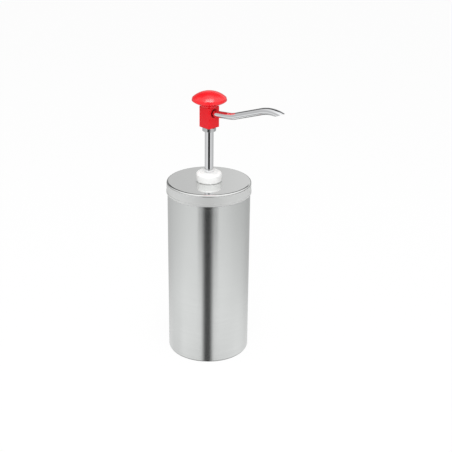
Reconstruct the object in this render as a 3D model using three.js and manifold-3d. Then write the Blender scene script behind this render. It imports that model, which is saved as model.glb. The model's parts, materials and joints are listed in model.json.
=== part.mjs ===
// Push-pump sauce dispenser: a steel container, its lift-off lid, and a spring-return pump that
// draws sauce up a dip tube, past two ball valves and through a hollow plunger to the spout.
// Millimetres, +Z up. The origin is the centre of the container's base, and the spout points along +X.

import * as THREE from 'three';
import { mergeVertices } from 'three/addons/utils/BufferGeometryUtils.js';
import Module from 'manifold-3d';

const wasm = await Module();
wasm.setup();

// Clearances and facets shared by every piece
const SEAT_GAP = 0.3; // between a moving piece and the stop that it rests against
const THREAD_GAP = 0.3; // radial, between screwed or pushed-in pieces
const SLIDE_GAP = 0.2; // radial, around a piece that slides or turns
const CUT_OVERRUN = 3; // how far a cutting tool runs past the piece that it cuts
const BODY_SIDES = 60; // sides of the container and the lid
const ROUND_SIDES = 36; // sides of the turned pieces that show, and of the barrel
const INNER_SIDES = 24; // sides of the turned pieces inside
const BALL_SIDES = 16;
const PIN_SIDES = 12;
const ARC_STEPS = 2; // steps in a rounded corner
const RING_STEPS = 3; // steps in half the section of a round ring

// Container: a drawn steel cylinder whose rim is folded inwards
const CONTAINER_DIAMETER = 120;
const CONTAINER_HEIGHT = 265.5;
const CONTAINER_WALL = 1;
const BASE_EDGE_RADIUS = 2.4;
const RIM_WIDTH = 2;
const RIM_HEIGHT = 5;

// Lid: a pressed steel cap with a hemmed skirt outside the container's rim
const LID_SHEET = 0.8;
const LID_SLIP = 0.4;
const LID_EDGE_RADIUS = 2.8;
const LID_SKIRT_HEIGHT = 19.2;
const LID_HEM_HEIGHT = 3.2;
const LID_HEM_PROUD = 0.35;

// Barrel: the pump's cylinder, hung from the lid by a flange below it and the collar nut above it
const BARREL_BORE = 28;
const BARREL_WALL = 2;
const BARREL_FLOOR = 3;
const FLANGE_PROUD = 6;
const FLANGE_THICKNESS = 2.5;
const GASKET_THICKNESS = 1.5;
const VENT_DIAMETER = 3;
const BARREL_EDGE_RADIUS = 1.2;

// Collar nut on the barrel's neck, above the lid
const COLLAR_DIAMETER = 37.2;
const COLLAR_HEIGHT = 13.6;
const COLLAR_TOP_WALL = 2.6;
const COLLAR_SHOULDER_RADIUS = 4.2;
const COLLAR_EDGE_RADIUS = 0.8;
const COLLAR_FOOT_INSET = 1; // the foot that the nut stands on is narrower than its side
const COLLAR_FOOT_HEIGHT = 0.5;

// Bush that guides the plunger in the neck, and the wiper ring in its top
const BUSH_LENGTH = 18;
const BUSH_FLANGE_THICKNESS = 1.5;
const BUSH_FLANGE_PROUD = 1.4;
const WIPER_DIAMETER = 20;
const WIPER_THICKNESS = 2.6;

// Plunger tube, its travel, and the length of it left above the collar nut when it is pressed
const PLUNGER_DIAMETER = 12.5;
const PLUNGER_WALL = 1.5;
const STROKE = 50;
const PRESSED_TUBE_LENGTH = 11;

// Piston on the plunger's lower end
const PISTON_LENGTH = 18;
const PISTON_CLEARANCE = 0.5;
const PISTON_SEAL_SECTION = 2.6;
const PISTON_SEAL_HEIGHT = 4;
const PISTON_EDGE_RADIUS = 0.6;

// Ball valves: a ball on a cone that narrows to a throat, below a pin that stops the ball
const INLET_BALL_DIAMETER = 11;
const OUTLET_BALL_DIAMETER = 7.2;
const INLET_BALL_LIFT = 3.5;
const OUTLET_BALL_LIFT = 3;
const VALVE_THROAT_SHARE = 0.6; // of the ball's radius
const CHAMBER_CLEARANCE = 0.9;
const VALVE_PIN_DIAMETER = 2;
const PIN_HOLE_CLEARANCE = 0.15;
const CONE_ANGLE = Math.PI / 4;

// Foot valve below the barrel's floor, and the dip tube pushed on it
const FOOT_CAGE_WALL = 2;
const FOOT_FLANGE_DIAMETER = 27;
const FOOT_FLANGE_THICKNESS = 4.5;
const FOOT_SEAL_THICKNESS = 1.2;
const FOOT_EDGE_RADIUS = 0.8;
const DIP_TUBE_DIAMETER = 16;
const DIP_TUBE_WALL = 1.25;
const DIP_TUBE_GRIP = 13;
const DIP_TUBE_FLOOR_GAP = 5;
const DIP_TUBE_CUT_ANGLE = THREE.MathUtils.degToRad(30);

// Return spring between the barrel's floor and the piston
const SPRING_WIRE = 1.6;
const SPRING_MEAN_DIAMETER = 22;
const SPRING_PRESSED_LENGTH = 30;
const SPRING_CURLS = 9;
const SPRING_CLOSED_PITCH = 2.4;
const SPRING_STEPS_PER_CURL = 8;
const SPRING_WIRE_SIDES = 5;
const WASHER_THICKNESS = 1.5;
const WASHER_RIM_GAP = 0.6;

// Head: a square block on the plunger tube, locked by a thin hexagonal nut below it
const BLOCK_WIDTH = 20;
const BLOCK_HEIGHT = 30.5;
const BLOCK_EDGE_RADIUS = 0.8;
const BLOCK_SOCKET_DEPTH = 12;
const BLOCK_PASSAGE_DIAMETER = 8;
const BLOCK_BOSS_DIAMETER = 14;
const BLOCK_BOSS_HEIGHT = 9;
const HEAD_NUT_FLATS = 18.5; // between opposite flats
const HEAD_NUT_HEIGHT = 5.8;
const HEAD_NUT_FACE_SHARE = 0.95; // of the end faces' diameter in the distance between the flats
const HEAD_NUT_CHAMFER_ANGLE = THREE.MathUtils.degToRad(30);
const TUBE_SEAL_THICKNESS = 1.2;

// Spout: a bent tube from the block's +X face, cut slantwise at its mouth
const SPOUT_DIAMETER = 9.5;
const SPOUT_WALL = 1;
const SPOUT_SIDES = 16;
const SPOUT_STEPS = 32;
const SPOUT_ROOT_HEIGHT = 21.7; // above the block's underside
const SPOUT_SOCKET_DEPTH = 7.5;
const SPOUT_RECESS_DEPTH = 3;
const SPOUT_SEAL_SECTION = 1.2;
const SPOUT_ROOT_LENGTH = 2.5; // from the block's face to the first bend's corner
const SPOUT_RUN_LENGTH = 34; // from the first corner to the second
const SPOUT_NOSE_LENGTH = 21.8; // level, from the third corner to the tip
const SPOUT_RUN_ANGLE = THREE.MathUtils.degToRad(5.7);
const SPOUT_CLIMB_ANGLE = THREE.MathUtils.degToRad(19.3);
const SPOUT_NOSE_ANGLE = THREE.MathUtils.degToRad(-15);
const SPOUT_ROOT_BEND_RADIUS = 30;
const SPOUT_LOW_BEND_RADIUS = 35;
const SPOUT_HIGH_BEND_RADIUS = 64;
const SPOUT_REACH = 140.8; // from the plunger's axis to the tip
const SPOUT_CUT_ANGLE = THREE.MathUtils.degToRad(24.6); // of the mouth, above level

// Knob: a domed cap with a steep rim band on a short neck, screwed on the block's boss
const KNOB_DIAMETER = 49.6;
const KNOB_NECK_DIAMETER = 24;
const KNOB_NECK_HEIGHT = 1.6;
const KNOB_UNDERSIDE_HEIGHT = 7.4;
const KNOB_RIM_HEIGHT = 3.2;
const KNOB_RIM_INSET = 1; // of the band's upper edge from its lower one
const KNOB_DOME_HEIGHT = 9.1;
const KNOB_NECK_EDGE_RADIUS = 0.5;
const KNOB_UNDERSIDE_FULLNESS_SHARE = 1.15; // power of the underside's curve: 1 is a cone, 2 an ellipse
const KNOB_CURVE_STEPS = 8;

// Sizes that follow from the ones above
const containerRadius = CONTAINER_DIAMETER / 2;
const skirtInnerRadius = containerRadius + LID_SLIP;
const skirtOuterRadius = skirtInnerRadius + LID_SHEET;
const lidInnerEdgeRadius = Math.max(LID_EDGE_RADIUS - LID_SHEET, 0);
const rimEdgeRadius = RIM_WIDTH / 2;
const barrelInnerRadius = BARREL_BORE / 2;
const barrelOuterRadius = barrelInnerRadius + BARREL_WALL;
const plungerRadius = PLUNGER_DIAMETER / 2;
const inletBallRadius = INLET_BALL_DIAMETER / 2;
const outletBallRadius = OUTLET_BALL_DIAMETER / 2;
const pinRadius = VALVE_PIN_DIAMETER / 2;
const footCageRadius = inletBallRadius + CHAMBER_CLEARANCE + FOOT_CAGE_WALL;
const spoutRadius = SPOUT_DIAMETER / 2;
const pistonRadius = barrelInnerRadius - PISTON_CLEARANCE;
const pistonSealRadius = barrelInnerRadius - SLIDE_GAP;
const pistonGrooveRadius = pistonSealRadius - PISTON_SEAL_SECTION;

// Heights of the pieces at rest, from the base up
const lidRestGap = restGapUnderLid();
const lidUnderside = CONTAINER_HEIGHT + lidRestGap;
const lidTop = lidUnderside + LID_SHEET;
const lidBottom = lidTop - LID_SKIRT_HEIGHT;
const flangeTop = lidUnderside - GASKET_THICKNESS;
const collarTop = lidTop + COLLAR_HEIGHT;
const collarCeiling = collarTop - COLLAR_TOP_WALL;
const neckTop = collarCeiling - BUSH_FLANGE_THICKNESS;
const bushBottom = neckTop - BUSH_LENGTH;
const pistonBottom = bushBottom - SEAT_GAP - PISTON_LENGTH;
const springLength = SPRING_PRESSED_LENGTH + STROKE;
const springBottom = pistonBottom - SEAT_GAP - springLength;
const barrelFloorTop = springBottom - WASHER_THICKNESS;
const barrelBottom = barrelFloorTop - BARREL_FLOOR;
const footFlangeTop = barrelBottom - FOOT_SEAL_THICKNESS;
const footFlangeBottom = footFlangeTop - FOOT_FLANGE_THICKNESS;
const headNutBottom = collarTop + PRESSED_TUBE_LENGTH + STROKE;
const blockBottom = headNutBottom + HEAD_NUT_HEIGHT;
const blockTop = blockBottom + BLOCK_HEIGHT;
const spoutHeight = blockBottom + SPOUT_ROOT_HEIGHT;
const tubeTop = blockBottom + BLOCK_SOCKET_DEPTH - TUBE_SEAL_THICKNESS;

const inletValve = ballValve(inletBallRadius, INLET_BALL_LIFT);
const outletValve = ballValve(outletBallRadius, OUTLET_BALL_LIFT);
const footThroat = footFlangeTop - inletValve.coneHeight;
const footCageTop = footThroat + inletValve.pinHeight + pinRadius + FOOT_CAGE_WALL;
const pistonThroat = pistonBottom + BARREL_FLOOR;
const pistonSocketFloor = pistonThroat + outletValve.coneHeight + CHAMBER_CLEARANCE;
const tubeBottom = pistonSocketFloor + SEAT_GAP;

// Height that keeps the rim's round edge a seat gap away from the round corner inside the lid
function restGapUnderLid() {
  const gap = Math.min(SEAT_GAP, LID_SLIP);
  const spare = Math.max(lidInnerEdgeRadius - rimEdgeRadius, gap);
  const drop = Math.sqrt((spare - gap) ** 2 - Math.min(spare - LID_SLIP, spare - gap) ** 2);
  return spare - drop;
}

// Heights in a ball valve above its throat. The ball touches the cone where both slope alike.
function ballValve(ballRadius, lift) {
  const throatRadius = ballRadius * VALVE_THROAT_SHARE;
  const chamberRadius = ballRadius + CHAMBER_CLEARANCE;
  const contactRadius = ballRadius * Math.cos(CONE_ANGLE);
  const contactHeight = (contactRadius - throatRadius) * Math.tan(CONE_ANGLE);
  const ballHeight = contactHeight + ballRadius * Math.sin(CONE_ANGLE) + SEAT_GAP;
  return {
    throatRadius,
    chamberRadius,
    coneHeight: (chamberRadius - throatRadius) * Math.tan(CONE_ANGLE),
    ballHeight,
    pinHeight: ballHeight + ballRadius + lift + SEAT_GAP + pinRadius,
  };
}

// Outline through corners [x, y], or [x, y, radius] where the corner is rounded
function roundedOutline(corners) {
  const points = [];
  corners.forEach(([x, y, radius = 0], index) => {
    const corner = new THREE.Vector2(x, y);
    if (radius === 0) {
      points.push(corner);
      return;
    }
    const before = new THREE.Vector2(...corners.at(index - 1)).sub(corner).normalize();
    const after = new THREE.Vector2(...corners[(index + 1) % corners.length]).sub(corner).normalize();
    const halfAngle = before.angleTo(after) / 2;
    const centre = before.clone().add(after).setLength(radius / Math.sin(halfAngle)).add(corner);
    const start = before.clone().multiplyScalar(radius / Math.tan(halfAngle)).add(corner).sub(centre);
    const turn = (Math.PI - 2 * halfAngle) * Math.sign(after.cross(before));
    for (let step = 0; step <= ARC_STEPS; step += 1) {
      const spoke = start.clone().rotateAround(new THREE.Vector2(), (turn * step) / ARC_STEPS);
      points.push(spoke.add(centre));
    }
  });
  const apart = SEAT_GAP / BODY_SIDES;
  return points.filter((point, index) => index === 0 || point.distanceTo(points[index - 1]) > apart);
}

// Solid turned about Z from an outline of radii and heights, anticlockwise seen with Z up
function turned(outline, sides = ROUND_SIDES) {
  const closed = outline[0].x === 0 ? outline : [...outline, outline[0]];
  const geometry = new THREE.LatheGeometry(closed, sides);
  geometry.rotateX(Math.PI / 2);
  return geometry;
}

// Round bar along Z from its lower end
function bar(radius, length, sides = ROUND_SIDES) {
  const corners = [[0, 0], [radius, 0], [radius, length], [0, length]];
  return turned(roundedOutline(corners), sides);
}

// Straight tube or ring along Z from its lower end
function ring(innerRadius, outerRadius, length, sides = INNER_SIDES) {
  const corners = [[innerRadius, 0], [outerRadius, 0], [outerRadius, length], [innerRadius, length]];
  return turned(roundedOutline(corners), sides);
}

// Ring of round section about Z, centred on its own height
function roundRing(middleRadius, sectionRadius) {
  const section = new THREE.Path().absarc(middleRadius, 0, sectionRadius, 0, 2 * Math.PI);
  return turned(section.getPoints(RING_STEPS).slice(0, -1), INNER_SIDES);
}

function toSolid(geometry) {
  const bare = geometry.index ? geometry.toNonIndexed() : geometry.clone();
  bare.deleteAttribute('normal');
  bare.deleteAttribute('uv');
  const merged = mergeVertices(bare);
  const corners = merged.index.array;
  const triangles = [];
  for (let i = 0; i < corners.length; i += 3) {
    const [a, b, c] = corners.slice(i, i + 3);
    if (a !== b && b !== c && c !== a) triangles.push(a, b, c);
  }
  return new wasm.Manifold(new wasm.Mesh({
    numProp: 3,
    vertProperties: merged.attributes.position.array,
    triVerts: Uint32Array.from(triangles),
  }));
}

function toGeometry(solid) {
  const mesh = solid.getMesh();
  const geometry = new THREE.BufferGeometry();
  geometry.setAttribute('position', new THREE.BufferAttribute(mesh.vertProperties, mesh.numProp));
  geometry.setIndex(new THREE.BufferAttribute(mesh.triVerts, 1));
  const flat = geometry.toNonIndexed();
  flat.computeVertexNormals();
  return flat;
}

// The first geometry with the others cut away
function cut(geometry, ...tools) {
  const solid = tools.reduce((rest, tool) => rest.subtract(toSolid(tool)), toSolid(geometry));
  return toGeometry(solid);
}

// Bar across the Z axis at a height, along Y
function crossBar(radius, length, height) {
  const geometry = bar(radius, length, PIN_SIDES);
  geometry.translate(0, 0, -length / 2);
  geometry.rotateX(Math.PI / 2);
  geometry.translate(0, 0, height);
  return geometry;
}

const finishes = {
  brushedSteel: new THREE.MeshStandardMaterial({ color: 0xcfd0cc, roughness: 0.32, metalness: 1 }),
  lidSteel: new THREE.MeshStandardMaterial({ color: 0xd2d3d0, roughness: 0.2, metalness: 1 }),
  chrome: new THREE.MeshStandardMaterial({ color: 0xdcdddd, roughness: 0.08, metalness: 1 }),
  springSteel: new THREE.MeshStandardMaterial({ color: 0xb4b6b8, roughness: 0.25, metalness: 1 }),
  redPlastic: new THREE.MeshStandardMaterial({ color: 0xe3262f, roughness: 0.3, metalness: 0 }),
  whitePlastic: new THREE.MeshStandardMaterial({ color: 0xf2f2f0, roughness: 0.4, metalness: 0 }),
  naturalPlastic: new THREE.MeshStandardMaterial({ color: 0xe6e8e4, roughness: 0.45, metalness: 0 }),
  sealRubber: new THREE.MeshStandardMaterial({ color: 0x2b2c2e, roughness: 0.8, metalness: 0 }),
  redSilicone: new THREE.MeshStandardMaterial({ color: 0xa81c22, roughness: 0.6, metalness: 0 }),
};

const dispenser = new THREE.Group();

// Adds one piece, whose geometry starts at its own foot, at a height in the dispenser
function place(name, geometry, finish, height = 0) {
  const mesh = new THREE.Mesh(geometry, finish);
  mesh.name = name;
  mesh.position.z = height;
  dispenser.add(mesh);
  return mesh;
}

function container() {
  const innerEdge = Math.max(BASE_EDGE_RADIUS - CONTAINER_WALL, 0);
  const wallInner = containerRadius - CONTAINER_WALL;
  const rimInner = containerRadius - RIM_WIDTH;
  const foldBottom = CONTAINER_HEIGHT - RIM_HEIGHT;
  return turned(roundedOutline([
    [0, 0],
    [containerRadius, 0, BASE_EDGE_RADIUS],
    [containerRadius, CONTAINER_HEIGHT, rimEdgeRadius],
    [rimInner, CONTAINER_HEIGHT, rimEdgeRadius],
    [rimInner, foldBottom],
    [wallInner, foldBottom - (RIM_WIDTH - CONTAINER_WALL)],
    [wallInner, CONTAINER_WALL, innerEdge],
    [0, CONTAINER_WALL],
  ]), BODY_SIDES);
}

function lid() {
  const holeRadius = barrelOuterRadius + THREAD_GAP;
  const hemRadius = skirtOuterRadius + LID_HEM_PROUD;
  const underside = LID_SKIRT_HEIGHT - LID_SHEET;
  const hemEdge = (LID_HEM_PROUD + LID_SHEET) / 2;
  return turned(roundedOutline([
    [holeRadius, underside],
    [skirtInnerRadius, underside, lidInnerEdgeRadius],
    [skirtInnerRadius, 0, hemEdge],
    [hemRadius, 0, hemEdge],
    [hemRadius, LID_HEM_HEIGHT, LID_HEM_PROUD / 2],
    [skirtOuterRadius, LID_HEM_HEIGHT],
    [skirtOuterRadius, LID_SKIRT_HEIGHT, LID_EDGE_RADIUS],
    [holeRadius, LID_SKIRT_HEIGHT],
  ]), BODY_SIDES);
}

function collarNut() {
  const radius = COLLAR_DIAMETER / 2;
  const threadRadius = barrelOuterRadius + THREAD_GAP;
  const rodHole = plungerRadius + THREAD_GAP;
  const ceiling = COLLAR_HEIGHT - COLLAR_TOP_WALL;
  return turned(roundedOutline([
    [threadRadius, 0],
    [radius - COLLAR_FOOT_INSET, 0],
    [radius - COLLAR_FOOT_INSET, COLLAR_FOOT_HEIGHT],
    [radius, COLLAR_FOOT_HEIGHT, COLLAR_EDGE_RADIUS],
    [radius, COLLAR_HEIGHT, COLLAR_SHOULDER_RADIUS],
    [rodHole, COLLAR_HEIGHT],
    [rodHole, ceiling],
    [threadRadius, ceiling],
  ]));
}

function guideBush() {
  const bore = plungerRadius + SLIDE_GAP;
  const bodyRadius = barrelInnerRadius - THREAD_GAP;
  const flangeRadius = barrelInnerRadius + BUSH_FLANGE_PROUD;
  const top = BUSH_LENGTH + BUSH_FLANGE_THICKNESS;
  const pocketRadius = WIPER_DIAMETER / 2 + SLIDE_GAP;
  return turned(roundedOutline([
    [bore, 0],
    [bodyRadius, 0],
    [bodyRadius, BUSH_LENGTH],
    [flangeRadius, BUSH_LENGTH],
    [flangeRadius, top],
    [pocketRadius, top],
    [pocketRadius, top - WIPER_THICKNESS],
    [bore, top - WIPER_THICKNESS],
  ]), INNER_SIDES);
}

function pumpBarrel() {
  const flangeRadius = barrelOuterRadius + FLANGE_PROUD;
  const floorHole = footCageRadius + THREAD_GAP;
  const flange = flangeTop - barrelBottom;
  const neck = neckTop - barrelBottom;
  const shell = turned(roundedOutline([
    [floorHole, 0],
    [barrelOuterRadius, 0, BARREL_EDGE_RADIUS],
    [barrelOuterRadius, flange - FLANGE_THICKNESS],
    [flangeRadius, flange - FLANGE_THICKNESS],
    [flangeRadius, flange],
    [barrelOuterRadius, flange],
    [barrelOuterRadius, neck],
    [barrelInnerRadius, neck],
    [barrelInnerRadius, BARREL_FLOOR],
    [floorHole, BARREL_FLOOR],
  ]));
  const ventLength = 2 * (barrelOuterRadius + CUT_OVERRUN);
  const ventHeight = flange - FLANGE_THICKNESS - VENT_DIAMETER;
  return cut(shell, crossBar(VENT_DIAMETER / 2, ventLength, ventHeight));
}

function footValveBody() {
  const below = footThroat - footFlangeBottom;
  const gripRadius = DIP_TUBE_DIAMETER / 2 - DIP_TUBE_WALL - THREAD_GAP;
  const flangeRadius = FOOT_FLANGE_DIAMETER / 2;
  const throatHeight = DIP_TUBE_GRIP + below;
  const top = DIP_TUBE_GRIP + footCageTop - footFlangeBottom;
  const { throatRadius, chamberRadius, coneHeight, pinHeight } = inletValve;
  const body = turned(roundedOutline([
    [throatRadius, 0],
    [gripRadius, 0, FOOT_EDGE_RADIUS],
    [gripRadius, DIP_TUBE_GRIP],
    [flangeRadius, DIP_TUBE_GRIP, FOOT_EDGE_RADIUS],
    [flangeRadius, DIP_TUBE_GRIP + FOOT_FLANGE_THICKNESS, FOOT_EDGE_RADIUS],
    [footCageRadius, DIP_TUBE_GRIP + FOOT_FLANGE_THICKNESS],
    [footCageRadius, top],
    [chamberRadius, top],
    [chamberRadius, throatHeight + coneHeight],
    [throatRadius, throatHeight],
  ]), INNER_SIDES);
  const holeLength = 2 * (footCageRadius + CUT_OVERRUN);
  return cut(body, crossBar(pinRadius + PIN_HOLE_CLEARANCE, holeLength, throatHeight + pinHeight));
}

function dipTube() {
  const radius = DIP_TUBE_DIAMETER / 2;
  const bottom = CONTAINER_WALL + DIP_TUBE_FLOOR_GAP;
  const length = footFlangeBottom - bottom;
  const tube = ring(radius - DIP_TUBE_WALL, radius, length);
  const slant = DIP_TUBE_DIAMETER / Math.cos(DIP_TUBE_CUT_ANGLE) + 2 * CUT_OVERRUN;
  const wedge = new THREE.BoxGeometry(slant, slant, slant);
  wedge.translate(0, 0, -slant / 2);
  wedge.rotateY(DIP_TUBE_CUT_ANGLE);
  wedge.translate(0, 0, radius * Math.tan(DIP_TUBE_CUT_ANGLE));
  return place('dip_tube', cut(tube, wedge), finishes.naturalPlastic, bottom);
}

function pistonBody() {
  const { throatRadius, chamberRadius, coneHeight } = outletValve;
  const throat = pistonThroat - pistonBottom;
  const socketFloor = pistonSocketFloor - pistonBottom;
  const socketRadius = plungerRadius + THREAD_GAP;
  const grooveLow = (PISTON_LENGTH - PISTON_SEAL_HEIGHT) / 2 - SLIDE_GAP;
  const grooveHigh = grooveLow + PISTON_SEAL_HEIGHT + 2 * SLIDE_GAP;
  return turned(roundedOutline([
    [throatRadius, 0],
    [pistonRadius, 0, PISTON_EDGE_RADIUS],
    [pistonRadius, grooveLow],
    [pistonGrooveRadius, grooveLow],
    [pistonGrooveRadius, grooveHigh],
    [pistonRadius, grooveHigh],
    [pistonRadius, PISTON_LENGTH, PISTON_EDGE_RADIUS],
    [socketRadius, PISTON_LENGTH],
    [socketRadius, socketFloor],
    [chamberRadius, socketFloor],
    [chamberRadius, throat + coneHeight],
    [throatRadius, throat],
  ]), INNER_SIDES);
}

// Cup seal: a ring with a notch underneath that lets sauce press its lips outwards
function pistonSeal() {
  const inner = pistonGrooveRadius + SLIDE_GAP;
  const middle = (inner + pistonSealRadius) / 2;
  const notchHalf = (pistonSealRadius - inner) / 4;
  return turned(roundedOutline([
    [inner, 0],
    [middle - notchHalf, 0],
    [middle, PISTON_SEAL_HEIGHT / 2],
    [middle + notchHalf, 0],
    [pistonSealRadius, 0],
    [pistonSealRadius, PISTON_SEAL_HEIGHT],
    [inner, PISTON_SEAL_HEIGHT],
  ]), INNER_SIDES);
}

function plungerTube() {
  const tube = ring(plungerRadius - PLUNGER_WALL, plungerRadius, tubeTop - tubeBottom, ROUND_SIDES);
  const pinHeight = pistonThroat + outletValve.pinHeight - tubeBottom;
  const holeLength = PLUNGER_DIAMETER + 2 * CUT_OVERRUN;
  return cut(tube, crossBar(pinRadius + PIN_HOLE_CLEARANCE, holeLength, pinHeight));
}

function ball(radius) {
  return new THREE.SphereGeometry(radius, BALL_SIDES, BALL_SIDES / 2).rotateX(Math.PI / 2);
}

// Valve pin across a bore, its ends a slide gap short of the outside
function valvePin(outerRadius) {
  return crossBar(pinRadius, 2 * (outerRadius - SLIDE_GAP), 0);
}

// Centre line of the spring's wire, in cylindrical steps. Its end curls lie close, as ground ends do.
function springPath() {
  const steps = SPRING_CURLS * SPRING_STEPS_PER_CURL;
  const rise = springLength - SPRING_WIRE;
  const openPitch = (rise - 2 * SPRING_CLOSED_PITCH) / (SPRING_CURLS - 2);
  const points = [];
  let height = SPRING_WIRE / 2;
  for (let step = 0; step <= steps; step += 1) {
    const angle = (2 * Math.PI * step) / SPRING_STEPS_PER_CURL;
    const radius = SPRING_MEAN_DIAMETER / 2;
    points.push(new THREE.Vector3(radius * Math.cos(angle), radius * Math.sin(angle), height));
    const closed = step < SPRING_STEPS_PER_CURL || step >= steps - SPRING_STEPS_PER_CURL;
    height += (closed ? SPRING_CLOSED_PITCH : openPitch) / SPRING_STEPS_PER_CURL;
  }
  return points;
}

// Least clear distance between the wire and the curls beside it
function leastGapToItself(path) {
  let least = Infinity;
  path.forEach((point, index) => {
    const apart = index + SPRING_STEPS_PER_CURL / 2;
    path.slice(apart).forEach((other) => {
      least = Math.min(least, point.distanceTo(other) - SPRING_WIRE);
    });
  });
  return least;
}

// One unbroken tube: a polygon of the wire's section at each point of the path, in its radial plane
function returnSpring() {
  const path = springPath();
  console.log(`return_spring: least gap to itself ${leastGapToItself(path).toFixed(2)} mm`);
  const positions = [];
  path.forEach((point) => {
    const outward = new THREE.Vector3(point.x, point.y, 0).normalize();
    for (let side = 0; side < SPRING_WIRE_SIDES; side += 1) {
      const angle = (2 * Math.PI * side) / SPRING_WIRE_SIDES + Math.PI / 2;
      const rim = outward.clone().multiplyScalar(Math.cos(angle));
      rim.z = Math.sin(angle);
      positions.push(...rim.multiplyScalar(SPRING_WIRE / 2).add(point));
    }
  });
  const triangles = [];
  for (let i = 0; i < (path.length - 1) * SPRING_WIRE_SIDES; i += 1) {
    const next = i % SPRING_WIRE_SIDES === SPRING_WIRE_SIDES - 1 ? i + 1 - SPRING_WIRE_SIDES : i + 1;
    triangles.push(i, i + SPRING_WIRE_SIDES, next);
    triangles.push(next, i + SPRING_WIRE_SIDES, next + SPRING_WIRE_SIDES);
  }
  const last = (path.length - 1) * SPRING_WIRE_SIDES;
  for (let side = 1; side < SPRING_WIRE_SIDES - 1; side += 1) {
    triangles.push(0, side, side + 1);
    triangles.push(last, last + side + 1, last + side);
  }
  const geometry = new THREE.BufferGeometry();
  geometry.setAttribute('position', new THREE.Float32BufferAttribute(positions, 3));
  geometry.setIndex(triangles);
  geometry.computeVertexNormals();
  return geometry;
}

function springWasher() {
  return ring(footCageRadius + THREAD_GAP, barrelInnerRadius - WASHER_RIM_GAP, WASHER_THICKNESS);
}

// Hexagonal nut with a corner towards the spout. Two cones, widest at half its height, chamfer it.
function headNut() {
  const boreRadius = plungerRadius + THREAD_GAP;
  const flatRadius = HEAD_NUT_FLATS / 2;
  const faceRadius = flatRadius * HEAD_NUT_FACE_SHARE;
  const half = HEAD_NUT_HEIGHT / 2;
  const prism = bar(flatRadius / Math.cos(Math.PI / 6), HEAD_NUT_HEIGHT + 2 * CUT_OVERRUN, 6);
  prism.rotateZ(Math.PI / 6);
  prism.translate(0, 0, -CUT_OVERRUN);
  const cones = turned(roundedOutline([
    [boreRadius, 0],
    [faceRadius, 0],
    [faceRadius + half / Math.tan(HEAD_NUT_CHAMFER_ANGLE), half],
    [faceRadius, HEAD_NUT_HEIGHT],
    [boreRadius, HEAD_NUT_HEIGHT],
  ]));
  return toGeometry(toSolid(prism).intersect(toSolid(cones)));
}

function roundedSquare(width, radius) {
  const half = width / 2;
  return new THREE.Shape(roundedOutline([
    [-half, -half, radius],
    [half, -half, radius],
    [half, half, radius],
    [-half, half, radius],
  ]));
}

// Round tool along +X at the spout's height, from a distance to the axis outwards
function spoutTool(radius, from) {
  const tool = bar(radius, BLOCK_WIDTH, INNER_SIDES);
  tool.rotateY(Math.PI / 2);
  tool.translate(from, 0, SPOUT_ROOT_HEIGHT);
  return tool;
}

function headBlock() {
  const prism = new THREE.ExtrudeGeometry(roundedSquare(BLOCK_WIDTH, BLOCK_EDGE_RADIUS), {
    depth: BLOCK_HEIGHT - 2 * BLOCK_EDGE_RADIUS,
    bevelThickness: BLOCK_EDGE_RADIUS,
    bevelSize: BLOCK_EDGE_RADIUS / 2,
    bevelOffset: -BLOCK_EDGE_RADIUS / 2,
    bevelSegments: ARC_STEPS,
  });
  prism.translate(0, 0, BLOCK_EDGE_RADIUS);
  const boss = bar(BLOCK_BOSS_DIAMETER / 2, BLOCK_HEIGHT / 2 + BLOCK_BOSS_HEIGHT);
  boss.translate(0, 0, BLOCK_HEIGHT / 2);
  const socket = bar(plungerRadius + THREAD_GAP, BLOCK_SOCKET_DEPTH + CUT_OVERRUN);
  socket.translate(0, 0, -CUT_OVERRUN);
  const passage = bar(BLOCK_PASSAGE_DIAMETER / 2, SPOUT_ROOT_HEIGHT, INNER_SIDES);
  const face = BLOCK_WIDTH / 2;
  const tools = [
    socket,
    passage,
    spoutTool(BLOCK_PASSAGE_DIAMETER / 2, 0),
    spoutTool(spoutRadius + THREAD_GAP / 2, face - SPOUT_SOCKET_DEPTH),
    spoutTool(spoutRadius + SPOUT_SEAL_SECTION + THREAD_GAP, face - SPOUT_RECESS_DEPTH),
  ];
  return cut(toGeometry(toSolid(prism).add(toSolid(boss))), ...tools);
}

// Line through corners in the XZ plane whose corners are bends of given radii
function bentLine(corners, radii) {
  const line = new THREE.CurvePath();
  let from = corners[0];
  corners.slice(1, -1).forEach((corner, index) => {
    const before = corners[index].clone().sub(corner).normalize();
    const after = corners[index + 2].clone().sub(corner).normalize();
    const tangent = radii[index] / Math.tan(before.angleTo(after) / 2);
    const start = before.multiplyScalar(tangent).add(corner);
    const end = after.multiplyScalar(tangent).add(corner);
    line.add(new THREE.LineCurve3(from, start));
    line.add(new THREE.QuadraticBezierCurve3(start, corner, end));
    from = end;
  });
  line.add(new THREE.LineCurve3(from, corners.at(-1)));
  return line;
}

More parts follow.
